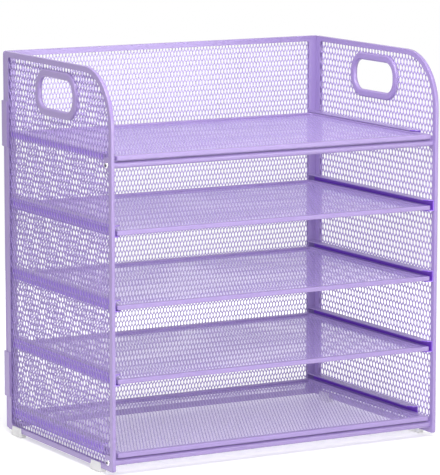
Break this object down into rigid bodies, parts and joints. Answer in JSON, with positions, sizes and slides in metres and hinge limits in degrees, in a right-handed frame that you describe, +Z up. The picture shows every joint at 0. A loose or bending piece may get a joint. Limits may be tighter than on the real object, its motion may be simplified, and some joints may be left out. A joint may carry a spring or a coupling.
{
  "type": "tiered paper tray",
  "caption": "Desk organizer of coated steel mesh with handled side panels and trays that slide out forwards on rails, standing on small plastic feet.",
  "frame": {"origin": "on the floor, under the middle of the part's box", "axes": "+Z up, -Y out of the open front, +X to the right seen from the front"},
  "size_m": [0.3492, 0.2265, 0.366],
  "materials": {
    "powder_coat": "satin lavender powder coat on folded sheet steel",
    "coated_mesh": "satin lavender powder coat on expanded steel mesh",
    "screw_steel": "bright nickel-plated steel",
    "plain_steel": "plain zinc-plated steel",
    "foot_plastic": "milky translucent off-white plastic"
  },
  "bodies": {
    "frame": {"left_side_rim": "powder_coat", "left_handle_rim": "powder_coat", "left_screw_tabs": "powder_coat", "right_side_rim": "powder_coat", "right_handle_rim": "powder_coat", "right_screw_tabs": "powder_coat", "back_rim": "powder_coat", "rear_corner_clips": "powder_coat", "top_crossbar": "powder_coat", "bottom_crossbar": "powder_coat", "left_rail_1": "powder_coat", "right_rail_1": "powder_coat", "left_rail_2": "powder_coat", "right_rail_2": "powder_coat", "left_rail_3": "powder_coat", "right_rail_3": "powder_coat", "left_rail_4": "powder_coat", "right_rail_4": "powder_coat", "left_rail_5": "powder_coat", "right_rail_5": "powder_coat", "left_side_mesh": "coated_mesh", "right_side_mesh": "coated_mesh", "back_mesh": "coated_mesh", "crossbar_end_plugs": "plain_steel", "crossbar_screws": "screw_steel", "front_left_foot": "foot_plastic", "front_right_foot": "foot_plastic", "rear_left_foot": "foot_plastic", "rear_right_foot": "foot_plastic"},
    "tray_1": {"tray_1_rim": "powder_coat", "tray_1_mesh": "coated_mesh"},
    "tray_2": {"tray_2_rim": "powder_coat", "tray_2_mesh": "coated_mesh"},
    "tray_3": {"tray_3_rim": "powder_coat", "tray_3_mesh": "coated_mesh"},
    "tray_4": {"tray_4_rim": "powder_coat", "tray_4_mesh": "coated_mesh"},
    "tray_5": {"tray_5_rim": "powder_coat", "tray_5_mesh": "coated_mesh"}
  },
  "joints": [
    {"name": "tray_1_slide", "type": "slide", "parent": "frame", "child": "tray_1", "axis": [0, -1, 0], "range_m": [0, 0.14]},
    {"name": "tray_2_slide", "type": "slide", "parent": "frame", "child": "tray_2", "axis": [0, -1, 0], "range_m": [0, 0.14]},
    {"name": "tray_3_slide", "type": "slide", "parent": "frame", "child": "tray_3", "axis": [0, -1, 0], "range_m": [0, 0.14]},
    {"name": "tray_4_slide", "type": "slide", "parent": "frame", "child": "tray_4", "axis": [0, -1, 0], "range_m": [0, 0.14]},
    {"name": "tray_5_slide", "type": "slide", "parent": "frame", "child": "tray_5", "axis": [0, -1, 0], "range_m": [0, 0.14]}
  ]
}
